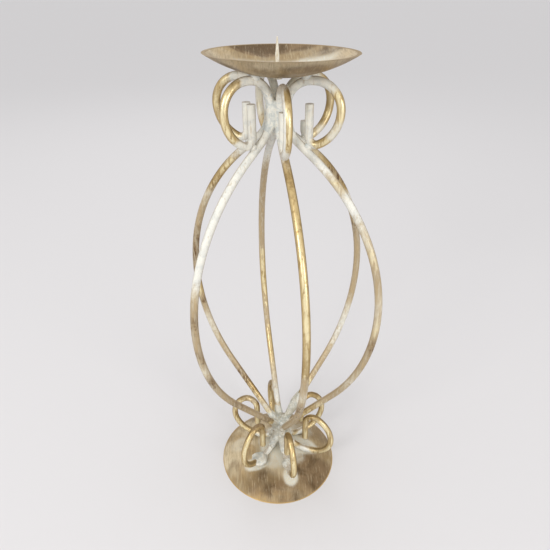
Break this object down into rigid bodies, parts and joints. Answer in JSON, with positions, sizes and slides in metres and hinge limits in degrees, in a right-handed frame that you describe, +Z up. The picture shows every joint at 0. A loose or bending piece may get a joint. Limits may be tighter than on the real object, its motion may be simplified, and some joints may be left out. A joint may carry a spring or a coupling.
{
  "type": "candle stand",
  "caption": "Wire torchere candle stand: bent rods with scrolled ends form an open cage between a domed base dish and a spiked drip pan.",
  "frame": {"origin": "middle of the base dish, at the level of its rim, on the floor", "axes": "+Z up; -Y towards the viewer of the picture; +X to the viewer's right; the front rod stands near -Y"},
  "size_m": [0.1412, 0.1548, 0.3579],
  "materials": {
    "gilt_wire": "antique gold paint, rubbed with a thin white wash, satin",
    "dish_metal": "brushed bronze-gold sheet, satin, with worn pale patches",
    "spike_paint": "cream paint, satin",
    "weld_paint": "white paint over weld metal, matte"
  },
  "bodies": {
    "root": {"base_dish": "dish_metal", "drip_pan": "dish_metal", "candle_spike": "spike_paint", "scroll_rod_1": "gilt_wire", "scroll_rod_2": "gilt_wire", "scroll_rod_3": "gilt_wire", "scroll_rod_4": "gilt_wire", "scroll_rod_5": "gilt_wire", "scroll_rod_6": "gilt_wire", "upper_neck_weld": "weld_paint", "lower_neck_weld": "weld_paint", "pan_welds": "weld_paint", "base_welds": "weld_paint", "scroll_tacks": "weld_paint"}
  },
  "joints": []
}
